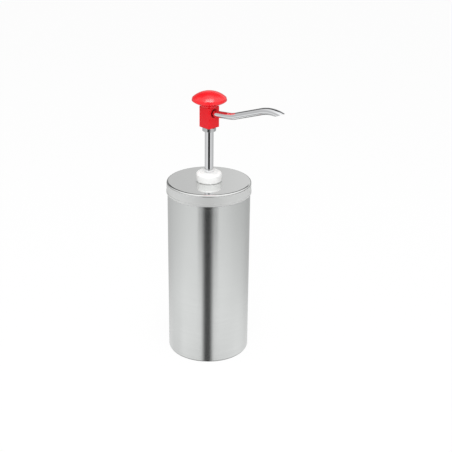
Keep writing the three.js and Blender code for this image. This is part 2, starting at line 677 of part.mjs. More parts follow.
// Corners of the spout's centre line, from the inner end of its socket to past its cut. The climb
// spans what the nose and the run leave of the reach.
function spoutLine() {
  const face = BLOCK_WIDTH / 2;
  const along = (from, angle, length) => new THREE.Vector3(
    from.x + length * Math.cos(angle),
    0,
    from.z + length * Math.sin(angle),
  );
  const inner = new THREE.Vector3(face - SPOUT_SOCKET_DEPTH + SEAT_GAP, 0, 0);
  const rootCorner = new THREE.Vector3(face + SPOUT_ROOT_LENGTH, 0, 0);
  const lowCorner = along(rootCorner, SPOUT_RUN_ANGLE, SPOUT_RUN_LENGTH);
  const climb = SPOUT_REACH - SPOUT_NOSE_LENGTH - lowCorner.x;
  const highCorner = along(lowCorner, SPOUT_CLIMB_ANGLE, climb / Math.cos(SPOUT_CLIMB_ANGLE));
  const nose = SPOUT_NOSE_LENGTH / Math.cos(SPOUT_NOSE_ANGLE);
  const end = along(highCorner, SPOUT_NOSE_ANGLE, nose + SPOUT_DIAMETER);
  const radii = [SPOUT_ROOT_BEND_RADIUS, SPOUT_LOW_BEND_RADIUS, SPOUT_HIGH_BEND_RADIUS];
  return { line: bentLine([inner, rootCorner, lowCorner, highCorner, end], radii), highCorner };
}

// The mouth is cut by a block below a slanting plane that meets the tube's top at the spout's reach
function spoutTube() {
  const { line, highCorner } = spoutLine();
  const section = new THREE.Shape().absarc(0, 0, spoutRadius, 0, 2 * Math.PI);
  section.holes.push(new THREE.Path().absarc(0, 0, spoutRadius - SPOUT_WALL, 0, 2 * Math.PI));
  const tube = new THREE.ExtrudeGeometry(section, {
    steps: SPOUT_STEPS,
    curveSegments: SPOUT_SIDES / 2,
    extrudePath: line,
  });
  const tipHeight = highCorner.z + SPOUT_NOSE_LENGTH * Math.tan(SPOUT_NOSE_ANGLE)
    + spoutRadius / Math.cos(SPOUT_NOSE_ANGLE);
  const size = 6 * SPOUT_DIAMETER;
  const cutter = new THREE.BoxGeometry(size, size, size);
  cutter.translate(0, 0, -size / 2);
  cutter.rotateY(-SPOUT_CUT_ANGLE);
  cutter.translate(SPOUT_REACH, 0, tipHeight);
  return cut(tube, cutter);
}

function spoutSeal() {
  const geometry = roundRing(spoutRadius + (SPOUT_SEAL_SECTION + THREAD_GAP) / 2, SPOUT_SEAL_SECTION / 2);
  geometry.rotateY(Math.PI / 2);
  const recessFloor = BLOCK_WIDTH / 2 - SPOUT_RECESS_DEPTH;
  geometry.translate(recessFloor + SPOUT_SEAL_SECTION / 2 + SLIDE_GAP, 0, 0);
  return geometry;
}

// Points of a curve at even steps from angle 0 to another
function curve(angle, pointAt) {
  const shares = Array.from({ length: KNOB_CURVE_STEPS + 1 }, (_, step) => step / KNOB_CURVE_STEPS);
  return shares.map((share) => pointAt(angle * share));
}

// The underside is a quarter of an ellipse bent by its fullness, and the dome is the cap of a sphere
function knob() {
  const neckRadius = KNOB_NECK_DIAMETER / 2;
  const holeRadius = BLOCK_BOSS_DIAMETER / 2 + THREAD_GAP;
  const holeDepth = BLOCK_BOSS_HEIGHT + SEAT_GAP;
  const rimRadius = KNOB_DIAMETER / 2;
  const rimBottom = KNOB_NECK_HEIGHT + KNOB_UNDERSIDE_HEIGHT;
  const rimTop = rimBottom + KNOB_RIM_HEIGHT;
  const fullness = KNOB_UNDERSIDE_FULLNESS_SHARE;
  const fullDepth = KNOB_UNDERSIDE_HEIGHT / (1 - (neckRadius / rimRadius) ** fullness) ** (1 / fullness);
  const underside = curve(Math.PI / 2, (angle) => [
    rimRadius * Math.cos(angle) ** (2 / fullness),
    rimBottom - fullDepth * Math.sin(angle) ** (2 / fullness),
  ]).filter(([radius]) => radius > neckRadius).reverse();
  const domeEdge = rimRadius - KNOB_RIM_INSET;
  const sphereRadius = (domeEdge ** 2 + KNOB_DOME_HEIGHT ** 2) / (2 * KNOB_DOME_HEIGHT);
  const domeAngle = 2 * Math.atan(KNOB_DOME_HEIGHT / domeEdge);
  const dome = curve(domeAngle, (angle) => [
    sphereRadius * Math.sin(angle),
    rimTop + KNOB_DOME_HEIGHT - sphereRadius * (1 - Math.cos(angle)),
  ]).reverse();
  return turned(roundedOutline([
    [0, holeDepth],
    [holeRadius, holeDepth],
    [holeRadius, 0],
    [neckRadius, 0, KNOB_NECK_EDGE_RADIUS],
    [neckRadius, KNOB_NECK_HEIGHT],
    ...underside,
    ...dome.slice(0, -1),
    [0, rimTop + KNOB_DOME_HEIGHT],
  ]));
}

// Container and lid
place('container', container(), finishes.brushedSteel);
place('lid', lid(), finishes.lidSteel, lidBottom);

// Pump pieces that the lid carries
place('collar_nut', collarNut(), finishes.whitePlastic, lidTop);
const gasketInner = barrelOuterRadius + THREAD_GAP;
const gasketOuter = barrelOuterRadius + FLANGE_PROUD;
place('neck_gasket', ring(gasketInner, gasketOuter, GASKET_THICKNESS), finishes.sealRubber, flangeTop);
place('guide_bush', guideBush(), finishes.whitePlastic, bushBottom);
const wiper = ring(plungerRadius + SLIDE_GAP / 2, WIPER_DIAMETER / 2, WIPER_THICKNESS);
place('rod_wiper', wiper, finishes.sealRubber, collarCeiling - WIPER_THICKNESS);
place('pump_barrel', pumpBarrel(), finishes.naturalPlastic, barrelBottom);
place('foot_valve_body', footValveBody(), finishes.whitePlastic, footFlangeBottom - DIP_TUBE_GRIP);
const footSeal = ring(footCageRadius + THREAD_GAP, FOOT_FLANGE_DIAMETER / 2, FOOT_SEAL_THICKNESS);
place('foot_valve_seal', footSeal, finishes.sealRubber, footFlangeTop);
const inletPinHeight = footThroat + inletValve.pinHeight;
place('inlet_ball_pin', valvePin(footCageRadius), finishes.chrome, inletPinHeight);
place('inlet_ball', ball(inletBallRadius), finishes.chrome, footThroat + inletValve.ballHeight);
dipTube();

// Spring under the piston
place('spring_washer', springWasher(), finishes.chrome, barrelFloorTop);
place('return_spring', returnSpring(), finishes.springSteel, springBottom);

// Plunger, head and spout
place('piston_body', pistonBody(), finishes.whitePlastic, pistonBottom);
const sealHeight = pistonBottom + (PISTON_LENGTH - PISTON_SEAL_HEIGHT) / 2;
place('piston_seal', pistonSeal(), finishes.sealRubber, sealHeight);
place('plunger_tube', plungerTube(), finishes.chrome, tubeBottom);
const outletPinHeight = pistonThroat + outletValve.pinHeight;
place('outlet_ball_pin', valvePin(plungerRadius), finishes.chrome, outletPinHeight);
place('outlet_ball', ball(outletBallRadius), finishes.chrome, pistonThroat + outletValve.ballHeight);
const tubeSeal = ring(plungerRadius - PLUNGER_WALL, plungerRadius, TUBE_SEAL_THICKNESS);
place('tube_seal', tubeSeal, finishes.sealRubber, tubeTop);
place('head_nut', headNut(), finishes.chrome, headNutBottom);
place('head_block', headBlock(), finishes.redPlastic, blockBottom);
place('spout_tube', spoutTube(), finishes.chrome, spoutHeight);
place('spout_seal', spoutSeal(), finishes.redSilicone, spoutHeight);
place('knob', knob(), finishes.redPlastic, blockTop);

export default dispenser;
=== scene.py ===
"""Studio view of a push-pump sauce dispenser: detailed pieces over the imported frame, in metres."""

import json
from math import atan, cos, pi, radians, sin, tan

import bmesh
import bpy
from mathutils import Matrix, Vector

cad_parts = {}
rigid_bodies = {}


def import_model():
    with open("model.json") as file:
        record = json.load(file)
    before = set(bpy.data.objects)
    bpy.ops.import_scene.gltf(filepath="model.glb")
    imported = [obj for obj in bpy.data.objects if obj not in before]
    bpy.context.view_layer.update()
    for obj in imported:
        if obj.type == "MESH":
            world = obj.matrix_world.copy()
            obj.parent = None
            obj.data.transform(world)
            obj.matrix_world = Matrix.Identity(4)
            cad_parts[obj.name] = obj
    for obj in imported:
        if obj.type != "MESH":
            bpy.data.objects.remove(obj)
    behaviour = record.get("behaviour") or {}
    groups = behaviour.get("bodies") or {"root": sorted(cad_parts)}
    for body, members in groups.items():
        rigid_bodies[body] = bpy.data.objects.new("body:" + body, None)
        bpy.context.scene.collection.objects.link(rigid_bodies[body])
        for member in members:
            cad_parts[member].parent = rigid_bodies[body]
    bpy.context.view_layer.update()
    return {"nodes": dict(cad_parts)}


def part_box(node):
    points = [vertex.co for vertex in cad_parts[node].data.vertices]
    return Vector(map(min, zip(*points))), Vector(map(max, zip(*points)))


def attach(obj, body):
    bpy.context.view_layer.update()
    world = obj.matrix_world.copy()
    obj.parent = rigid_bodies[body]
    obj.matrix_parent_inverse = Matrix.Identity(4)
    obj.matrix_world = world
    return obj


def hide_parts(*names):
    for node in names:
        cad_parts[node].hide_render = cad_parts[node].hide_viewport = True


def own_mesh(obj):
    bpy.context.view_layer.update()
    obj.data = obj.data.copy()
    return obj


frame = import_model()

MM = 0.001

# Facets and tolerances
SIDES = 192  # of the large turned pieces
SMALL_SIDES = 96
VENT_SIDES = 32
ARC_STEPS = 8  # in a rounded corner
BLOCK_EDGE_STEPS = 6
HEAD_NUT_STEPS = 10  # from the middle of a flat to its end
SPOUT_SIDES = 64
SPOUT_STEP = 0.9 * MM
SPOUT_LEAST_BEND_STEPS = 4
KNOB_CURVE_STEPS = 48
SPRING_STEPS_PER_CURL = 40
SPRING_WIRE_SIDES = 14
SHARP_ANGLE = radians(32)
SAME_POINT = 1e-6  # points of an outline that are closer than this are one
ON_AXIS = 1e-7  # largest radius of a point on the axis
CUT_TOLERANCE = 1e-7
CUT_OVERRUN = 3.0 * MM  # how far a cutting tool runs past the piece that it cuts

# Sizes of the pieces. The lid's skirt, the nut's flats, the spout's bends and the knob follow the
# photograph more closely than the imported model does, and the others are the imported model's.
CONTAINER_WALL = 1.0 * MM
BASE_EDGE_RADIUS = 2.4 * MM
RIM_WIDTH = 2.0 * MM
RIM_HEIGHT = 5.0 * MM
LID_SHEET = 0.8 * MM
LID_EDGE_RADIUS = 2.8 * MM
LID_HEM_HEIGHT = 3.2 * MM
LID_HEM_PROUD = 0.35 * MM
LID_SKIRT_SHORTENING = 1.8 * MM
LID_FLAT_MARGIN = 0.3 * MM  # keeps the shading of flat sheet out of its rounded edge
THREAD_GAP = 0.3 * MM
BARREL_BORE_RADIUS = 14.0 * MM
BARREL_OUTER_RADIUS = 16.0 * MM
BARREL_FLOOR = 3.0 * MM
BARREL_EDGE_RADIUS = 1.2 * MM
FLANGE_THICKNESS = 2.5 * MM
FOOT_CAGE_RADIUS = 8.4 * MM
VENT_RADIUS = 1.5 * MM
COLLAR_TOP_WALL = 2.6 * MM
COLLAR_SHOULDER_RADIUS = 4.2 * MM
COLLAR_EDGE_RADIUS = 0.8 * MM
COLLAR_FOOT_INSET = 1.0 * MM
COLLAR_FOOT_HEIGHT = 0.5 * MM
PLUNGER_WALL = 1.5 * MM
DIP_TUBE_WALL = 1.25 * MM
DIP_TUBE_CUT_ANGLE = radians(30)
HEAD_NUT_FACE_SHARE = 0.95  # of the end faces' diameter in the distance between the flats
HEAD_NUT_CHAMFER_ANGLE = radians(30)
HEAD_NUT_CROWN_ANGLE = radians(11)  # between the middle of a flat and its end
HEAD_NUT_CORNER_ANGLE = radians(3)  # left out on each side of a corner, seen from the axis
BLOCK_WIDTH = 20.0 * MM
BLOCK_EDGE_RADIUS = 0.8 * MM
BLOCK_SOCKET_DEPTH = 12.0 * MM
BLOCK_PASSAGE_RADIUS = 4.0 * MM
BLOCK_PASSAGE_START = 1.0 * MM  # above the block's underside, within the socket
BLOCK_BOSS_RADIUS = 7.0 * MM
BLOCK_BOSS_HEIGHT = 9.0 * MM
BLOCK_BOSS_ROOT = 1.0 * MM  # how far the boss reaches down into the block
SPOUT_RADIUS = 4.75 * MM
SPOUT_WALL = 1.0 * MM
SPOUT_ROOT_HEIGHT = 21.7 * MM
SPOUT_SOCKET_DEPTH = 7.5 * MM
SPOUT_RECESS_DEPTH = 3.0 * MM
SPOUT_RECESS_MARGIN = 1.5 * MM
SPOUT_ROOT_LENGTH = 2.5 * MM
SPOUT_RUN_LENGTH = 34.0 * MM
SPOUT_NOSE_LENGTH = 21.8 * MM
SPOUT_RUN_ANGLE = radians(5.7)
SPOUT_CLIMB_ANGLE = radians(19.3)
SPOUT_NOSE_ANGLE = radians(-15)
SPOUT_BEND_RADII = (30.0 * MM, 58.0 * MM, 64.0 * MM)
SPOUT_REACH = 140.8 * MM
SPOUT_CUT_ANGLE = radians(24.6)
SPOUT_CUT_ZONE = 20.0 * MM  # before the last corner, where the mouth's cut may begin
KNOB_NECK_RADIUS = 12.0 * MM
KNOB_NECK_HEIGHT = 1.6 * MM
KNOB_NECK_EDGE_RADIUS = 0.5 * MM
KNOB_UNDERSIDE_HEIGHT = 6.9 * MM
KNOB_UNDERSIDE_FULLNESS = 1.3  # power of the underside's curve: 1 is a cone, 2 an ellipse
KNOB_RIM_HEIGHT = 3.4 * MM
KNOB_RIM_INSET = 0.8 * MM
KNOB_RIM_EDGE_RADIUS = 0.4 * MM
SPRING_WIRE_RADIUS = 0.8 * MM
SPRING_MEAN_RADIUS = 11.0 * MM
SPRING_CURLS = 9
SPRING_CLOSED_PITCH = 2.4 * MM

ROD_HOLE_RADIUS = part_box("plunger_tube")[1].x + THREAD_GAP


# Mesh making

def rounded(corners):
    """Outline through (x, y) or (x, y, radius) corners, as a list of (x, y)."""
    points = []
    for index, corner in enumerate(corners):
        here = Vector(corner[:2])
        radius = corner[2] if len(corner) > 2 else 0
        if not radius:
            points.append(here)
            continue
        before = (Vector(corners[index - 1][:2]) - here).normalized()
        after = (Vector(corners[(index + 1) % len(corners)][:2]) - here).normalized()
        half = before.angle(after) / 2
        centre = here + (before + after).normalized() * (radius / sin(half))
        start = here + before * (radius / tan(half)) - centre
        turn = (pi - 2 * half) * (-1 if before.x * after.y - before.y * after.x > 0 else 1)
        for step in range(ARC_STEPS + 1):
            points.append(centre + Matrix.Rotation(turn * step / ARC_STEPS, 2) @ start)
    kept = [points[0]]
    for point in points[1:]:
        if (point - kept[-1]).length > SAME_POINT:
            kept.append(point)
    return [(point.x, point.y) for point in kept]


def lathe(outline, base=0.0, sides=SIDES):
    """Bmesh turned about Z from (radius, height) points, with heights counted from the base.

    An outline that starts on the axis also ends there, and any other is closed to a ring.
    """
    bm = bmesh.new()
    rings = []
    for radius, height in outline:
        if radius < ON_AXIS:
            rings.append([bm.verts.new((0, 0, base + height))])
            continue
        turns = [2 * pi * side / sides for side in range(sides)]
        rings.append([
            bm.verts.new((radius * cos(turn), radius * sin(turn), base + height))
            for turn in turns
        ])
    pairs = list(zip(rings, rings[1:]))
    if len(rings[0]) > 1:
        pairs.append((rings[-1], rings[0]))
    for low, high in pairs:
        for side in range(sides):
            after = (side + 1) % sides
            corners = []
            for vert in (low[side % len(low)], low[after % len(low)],
                         high[after % len(high)], high[side % len(high)]):
                if vert not in corners:
                    corners.append(vert)
            if len(corners) > 2:
                bm.faces.new(corners)
    return bm


def ring(bm, centre, radius, across, up, sides):
    """Vertices of a circle about the centre that starts across and turns up."""
    turns = [2 * pi * side / sides for side in range(sides)]
    return [
        bm.verts.new(centre + radius * (across * cos(turn) + up * sin(turn)))
        for turn in turns
    ]


def join_rings(bm, rings):
    """Faces from each ring of vertices to the next."""
    sides = len(rings[0])
    for first, second in zip(rings, rings[1:]):
        for side in range(sides):
            after = (side + 1) % sides
            bm.faces.new((first[side], first[after], second[after], second[side]))


def bar_along(radius, start, end, sides=SMALL_SIDES):
    """Bmesh of a round bar between two points."""
    axis = Vector(end) - Vector(start)
    bm = lathe([(0, 0), (radius, 0), (radius, axis.length), (0, axis.length)], sides=sides)
    turn = Vector((0, 0, 1)).rotation_difference(axis).to_matrix().to_4x4()
    bmesh.ops.transform(bm, matrix=Matrix.Translation(start) @ turn, verts=bm.verts)
    return bm


def pipe(node, wall):
    """Bmesh of an upright pipe as long and as wide as the node."""
    low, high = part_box(node)
    bore = high.x - wall
    length = high.z - low.z
    outline = [(bore, 0), (high.x, 0), (high.x, length), (bore, length)]
    return lathe(outline, low.z, SMALL_SIDES)


def subtract(bm, *cutters):
    """Bmesh with the cutters' bmeshes taken away from it."""
    linked = bpy.context.scene.collection.objects

    def temporary(source):
        bmesh.ops.recalc_face_normals(source, faces=source.faces)
        mesh = bpy.data.meshes.new("cutting")
        source.to_mesh(mesh)
        source.free()
        holder = bpy.data.objects.new("cutting", mesh)
        linked.link(holder)
        return holder

    base = temporary(bm)
    tools = [temporary(cutter) for cutter in cutters]
    for tool in tools:
        modifier = base.modifiers.new("cut", "BOOLEAN")
        modifier.operation = "DIFFERENCE"
        modifier.solver = "EXACT"
        modifier.object = tool
    bpy.context.view_layer.update()
    depsgraph = bpy.context.evaluated_depsgraph_get()
    result = bmesh.new()
    result.from_mesh(base.evaluated_get(depsgraph).to_mesh())
    for holder in [base, *tools]:
        mesh = holder.data
        bpy.data.objects.remove(holder)
        bpy.data.meshes.remove(mesh)
    return result


# Shader nodes

def colour(red, green, blue):
    """Linear colour from sRGB levels of 0 to 255."""
    def linear(level):
        share = level / 255
        return share / 12.92 if share <= 0.04045 else ((share + 0.055) / 1.055) ** 2.4
    return (linear(red), linear(green), linear(blue), 1)


class NodeTree:
    """The shader nodes of a material or a world. Values and shaders are passed as sockets."""

    def __init__(self, owner):
        owner.use_nodes = True
        self.tree = owner.node_tree
        self.tree.nodes.clear()

    def add(self, kind, **settings):
        node = self.tree.nodes.new(kind)
        for key, value in settings.items():
            setattr(node, key, value)
        return node

    def link(self, output, target):
        self.tree.links.new(output, target)

    def math(self, operation, *values):
        """Result of an operation on numbers and sockets."""
        node = self.add("ShaderNodeMath", operation=operation)
        for socket, value in zip(node.inputs, values):
            if isinstance(value, (int, float)):
                socket.default_value = value
            else:
                self.link(value, socket)
        return node.outputs[0]

    def map_range(self, source, start, end, low, high, **settings):
        """The source's value taken from start..end to low..high."""
        node = self.add("ShaderNodeMapRange", **settings)
        ends = {"From Min": start, "From Max": end, "To Min": low, "To Max": high}
        for name, value in ends.items():
            node.inputs[name].default_value = value
        self.link(source, node.inputs["Value"])
        return node.outputs["Result"]

    def mix_shaders(self, share, first, second):
        """The first shader where the share is 0 and the second where it is 1."""
        node = self.add("ShaderNodeMixShader")
        for output, socket in zip((share, first, second), node.inputs):
            self.link(output, socket)
        return node.outputs[0]


class Finish(NodeTree):
    """A material around one Principled shader, with noises in the object's own coordinates."""

    NOISE_RANGE = (0.3, 0.7)  # most of a noise's values lie between these

    def __init__(self, name, roughness, metallic=0.0, sockets=None):
        self.material = bpy.data.materials.new(name)
        super().__init__(self.material)
        self.shader = self.add("ShaderNodeBsdfPrincipled")
        values = {"Metallic": metallic, "Roughness": roughness, **(sockets or {})}
        for socket, value in values.items():
            self.shader.inputs[socket].default_value = value
        output = self.add("ShaderNodeOutputMaterial")
        self.link(self.shader.outputs["BSDF"], output.inputs["Surface"])
        self.place = self.add("ShaderNodeTexCoord")

    def noise(self, scale, stretch=(1, 1, 1), detail=3.0, rough=0.55):
        """Noise of a scale per metre, drawn out where stretch is under 1."""
        mapping = self.add("ShaderNodeMapping")
        mapping.inputs["Scale"].default_value = stretch
        self.link(self.place.outputs["Object"], mapping.inputs["Vector"])
        noise = self.add("ShaderNodeTexNoise")
        noise.inputs["Scale"].default_value = scale
        noise.inputs["Detail"].default_value = detail
        noise.inputs["Roughness"].default_value = rough
        self.link(mapping.outputs["Vector"], noise.inputs["Vector"])
        return noise.outputs["Fac"]

    def tint(self, source, first, second, ends=NOISE_RANGE):
        """Base colour between two colours by the source's value."""
        share = self.map_range(source, *ends, 0, 1)
        mix = self.add("ShaderNodeMix", data_type="RGBA")
        colours = [socket for socket in mix.inputs if socket.type == "RGBA"]
        colours[0].default_value = first
        colours[1].default_value = second
        self.link(share, mix.inputs["Factor"])
        result = [socket for socket in mix.outputs if socket.type == "RGBA"][0]
        self.link(result, self.shader.inputs["Base Color"])

    def roughen(self, source, low, high, ends=NOISE_RANGE):
        """Roughness between low and high by the source's value."""
        roughness = self.map_range(source, *ends, low, high)
        self.link(roughness, self.shader.inputs["Roughness"])

    def bump(self, source, strength, distance):
        """Relief by the source's value, of a distance in metres."""
        bump = self.add("ShaderNodeBump")
        bump.inputs["Strength"].default_value = strength
        bump.inputs["Distance"].default_value = distance
        self.link(source, bump.inputs["Height"])
        self.link(bump.outputs["Normal"], self.shader.inputs["Normal"])


# Materials

def container_steel():
    """Steel brushed around the container."""
    brushed = {"Anisotropic": 0.75, "Anisotropic Rotation": 0.25}
    finish = Finish("container_steel", roughness=0.25, metallic=1.0, sockets=brushed)
    grain = finish.noise(scale=900, stretch=(0.012, 0.012, 1), detail=4.0, rough=0.6)
    cloud = finish.noise(scale=14, stretch=(1, 1, 0.5), detail=2.0)
    finish.tint(cloud, colour(223, 225, 224), colour(228, 230, 229))
    finish.roughen(grain, 0.19, 0.24)
    finish.bump(grain, strength=0.065, distance=0.00004)
    return finish.material


def lid_steel():
    """Steel with a satin skirt, polished where it turns level, with painted shade by facing: the
    skirt's base colour is lighter than the top's.
    """
    finish = Finish("lid_steel", roughness=0.2, metallic=1.0)
    facing = finish.add("ShaderNodeSeparateXYZ")
    finish.link(finish.place.outputs["Normal"], facing.inputs["Vector"])
    upward = facing.outputs["Z"]
    turning = (0.03, 0.09)  # the normal's Z, from where the skirt ends to where the top begins
    # painted light and shade by facing: base colour lighter on the upright skirt and darker on the
    # level top, set by the normal's Z
    finish.tint(upward, colour(247, 248, 247), colour(228, 229, 228), turning)
    finish.roughen(upward, 0.68, 0.09, turning)
    cloud = finish.noise(scale=22, detail=2.0)
    finish.bump(cloud, strength=0.03, distance=0.0002)
    return finish.material


def mottled(name, roughness, cloud, tones, gloss, metallic=0.0, sockets=None,
            relief=None, skin=None):
    """A finish whose colour and roughness follow one noise, with that or a finer skin in relief."""
    finish = Finish(name, roughness, metallic, sockets)
    clouds = finish.noise(**cloud)
    finish.tint(clouds, *tones)
    finish.roughen(clouds, *gloss)
    if relief:
        finish.bump(finish.noise(**skin) if skin else clouds, **relief)
    return finish.material


# Noise scales are per metre. The tones are two base colours, and the gloss is a range of roughness.
MOTTLED_FINISHES = {
    "chrome": {
        "metallic": 1.0,
        "roughness": 0.07,
        "cloud": {"scale": 60},
        "tones": (colour(233, 234, 236), colour(238, 239, 240)),
        "gloss": (0.04, 0.07),
    },
    "nut_steel": {
        "metallic": 1.0,
        "roughness": 0.1,
        "cloud": {"scale": 60},
        "tones": (colour(204, 205, 206), colour(212, 213, 214)),
        "gloss": (0.08, 0.12),
    },
    "spring_steel": {
        "metallic": 1.0,
        "roughness": 0.25,
        "cloud": {"scale": 400, "detail": 4.0},
        "tones": (colour(176, 178, 180), colour(202, 203, 204)),
        "gloss": (0.2, 0.34),
    },
    # The knob and the block are one red plastic in a lit copy and a shaded copy: the knob's red is
    # the lit copy
    "knob_plastic": {
        "roughness": 0.27,
        "sockets": {"Specular IOR Level": 0.72},
        "cloud": {"scale": 45},
        "tones": (colour(232, 14, 26), colour(236, 20, 32)),
        "gloss": (0.24, 0.27),
        "skin": {"scale": 900, "detail": 2.0},
        "relief": {"strength": 0.002, "distance": 0.00003},
    },
    # painted shade: a darker copy of the knob's red for the block's upright faces
    "block_plastic_painted_shade": {
        "roughness": 0.24,
        "sockets": {"Specular IOR Level": 0.3},
        "cloud": {"scale": 45},
        "tones": (colour(222, 14, 27), colour(227, 18, 31)),
        "gloss": (0.2, 0.24),
        "skin": {"scale": 900, "detail": 2.0},
        "relief": {"strength": 0.002, "distance": 0.00003},
    },
    "white_plastic": {
        "roughness": 0.36,
        "cloud": {"scale": 70},
        "tones": (colour(245, 246, 245), colour(249, 249, 248)),
        "gloss": (0.32, 0.42),
        "skin": {"scale": 1600, "detail": 2.0},
        "relief": {"strength": 0.05, "distance": 0.00003},
    },
    "natural_plastic": {
        "roughness": 0.4,
        "sockets": {"Subsurface Weight": 0.25, "Subsurface Scale": 0.002},
        "cloud": {"scale": 30, "stretch": (1, 1, 0.3)},
        "tones": (colour(222, 226, 220), colour(234, 236, 231)),
        "gloss": (0.34, 0.48),
        "skin": {"scale": 900, "detail": 2.0},
        "relief": {"strength": 0.06, "distance": 0.00004},
    },
    "seal_rubber": {
        "roughness": 0.75,
        "cloud": {"scale": 300, "detail": 4.0},
        "tones": (colour(36, 37, 38), colour(48, 49, 50)),
        "gloss": (0.68, 0.84),
        "relief": {"strength": 0.15, "distance": 0.00006},
    },
    # a red seal whose dark red also paints the shade in the recess round the spout's root: partly
    # its own colour, partly painted shade
    "red_silicone": {
        "roughness": 0.6,
        "cloud": {"scale": 300, "detail": 4.0},
        "tones": (colour(150, 20, 26), colour(168, 26, 32)),
        "gloss": (0.52, 0.68),
        "relief": {"strength": 0.1, "distance": 0.00005},
    },
}

materials = {
    "container_steel": container_steel(),
    "lid_steel": lid_steel(),
    **{name: mottled(name, **settings) for name, settings in MOTTLED_FINISHES.items()},
}


# Pieces

def finished(name, bm, finish, body, replaced):
    """A smooth-shaded piece from a bmesh, riding on its body and standing for its node."""
    bmesh.ops.recalc_face_normals(bm, faces=bm.faces)
    mesh = bpy.data.meshes.new(name)
    bm.to_mesh(mesh)
    bm.free()
    mesh.shade_smooth()
    mesh.set_sharp_from_angle(angle=SHARP_ANGLE)
    piece = bpy.data.objects.new(name, mesh)
    bpy.context.scene.collection.objects.link(piece)
    mesh.materials.append(materials[finish])
    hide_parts(replaced)
    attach(piece, body)
    return piece


def container():
    low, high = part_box("container")
    radius = high.x
    wall = radius - CONTAINER_WALL
    rim = radius - RIM_WIDTH
    fold = high.z - RIM_HEIGHT
    outline = rounded([
        (0, 0),
        (radius, 0, BASE_EDGE_RADIUS),
        (radius, high.z, RIM_WIDTH / 2),
        (rim, high.z, RIM_WIDTH / 2),
        (rim, fold),
        (wall, fold - (RIM_WIDTH - CONTAINER_WALL)),
        (wall, CONTAINER_WALL, BASE_EDGE_RADIUS - CONTAINER_WALL),
        (0, CONTAINER_WALL),
    ])
    finished("container_shell", lathe(outline, low.z), "container_steel",
             body="container", replaced="container")


def lid():
    low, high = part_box("lid")
    hem = high.x
    outer = hem - LID_HEM_PROUD
    inner = outer - LID_SHEET
    hole = BARREL_OUTER_RADIUS + THREAD_GAP
    base = low.z + LID_SKIRT_SHORTENING
    height = high.z - base
    underside = height - LID_SHEET
    hem_edge = (LID_HEM_PROUD + LID_SHEET) / 2
    outline = rounded([
        (hole, underside),
        (inner, underside, LID_EDGE_RADIUS - LID_SHEET),
        (inner, 0, hem_edge),
        (hem, 0, hem_edge),
        (hem, LID_HEM_HEIGHT, LID_HEM_PROUD / 2),
        (outer, LID_HEM_HEIGHT),
        (outer, height - LID_EDGE_RADIUS - LID_FLAT_MARGIN),
        (outer, height, LID_EDGE_RADIUS),
        (outer - LID_EDGE_RADIUS - LID_FLAT_MARGIN, height),
        (hole, height),
    ])
    finished("lid_cap", lathe(outline, base), "lid_steel",
             body="lid", replaced="lid")


def collar_nut():
    low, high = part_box("collar_nut")
    radius = high.x
    height = high.z - low.z
    thread = BARREL_OUTER_RADIUS + THREAD_GAP
    ceiling = height - COLLAR_TOP_WALL
    outline = rounded([
        (thread, 0),
        (radius - COLLAR_FOOT_INSET, 0),
        (radius - COLLAR_FOOT_INSET, COLLAR_FOOT_HEIGHT),
        (radius, COLLAR_FOOT_HEIGHT, COLLAR_EDGE_RADIUS),
        (radius, height, COLLAR_SHOULDER_RADIUS),
        (ROD_HOLE_RADIUS, height),
        (ROD_HOLE_RADIUS, ceiling),
        (thread, ceiling),
    ])
    finished("collar_moulding", lathe(outline, low.z), "white_plastic",
             body="lid", replaced="collar_nut")


def pump_barrel():
    low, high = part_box("pump_barrel")
    flange_radius = high.x
    flange_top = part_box("neck_gasket")[0].z - low.z
    neck = high.z - low.z
    floor_hole = FOOT_CAGE_RADIUS + THREAD_GAP
    outline = rounded([
        (floor_hole, 0),
        (BARREL_OUTER_RADIUS, 0, BARREL_EDGE_RADIUS),
        (BARREL_OUTER_RADIUS, flange_top - FLANGE_THICKNESS),
        (flange_radius, flange_top - FLANGE_THICKNESS),
        (flange_radius, flange_top),
        (BARREL_OUTER_RADIUS, flange_top),
        (BARREL_OUTER_RADIUS, neck),
        (BARREL_BORE_RADIUS, neck),
        (BARREL_BORE_RADIUS, BARREL_FLOOR),
        (floor_hole, BARREL_FLOOR),
    ])
    vent_height = low.z + flange_top - FLANGE_THICKNESS - 2 * VENT_RADIUS
    vent = bar_along(VENT_RADIUS, (0, -flange_radius, vent_height),
                     (0, flange_radius, vent_height), VENT_SIDES)
    bm = subtract(lathe(outline, low.z, SMALL_SIDES), vent)
    finished("barrel_moulding", bm, "natural_plastic",
             body="lid", replaced="pump_barrel")


def dip_tube():
    low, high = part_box("dip_tube")
    radius = high.x
    bm = pipe("dip_tube", DIP_TUBE_WALL)
    for vert in bm.verts:
        if vert.co.z < low.z + radius:
            vert.co.z += (radius - vert.co.x) * tan(DIP_TUBE_CUT_ANGLE)
    finished("dip_tube_cut", bm, "natural_plastic",
             body="lid", replaced="dip_tube")


def plunger_tube():
    finished("plunger_rod", pipe("plunger_tube", PLUNGER_WALL), "chrome",
             body="plunger", replaced="plunger_tube")


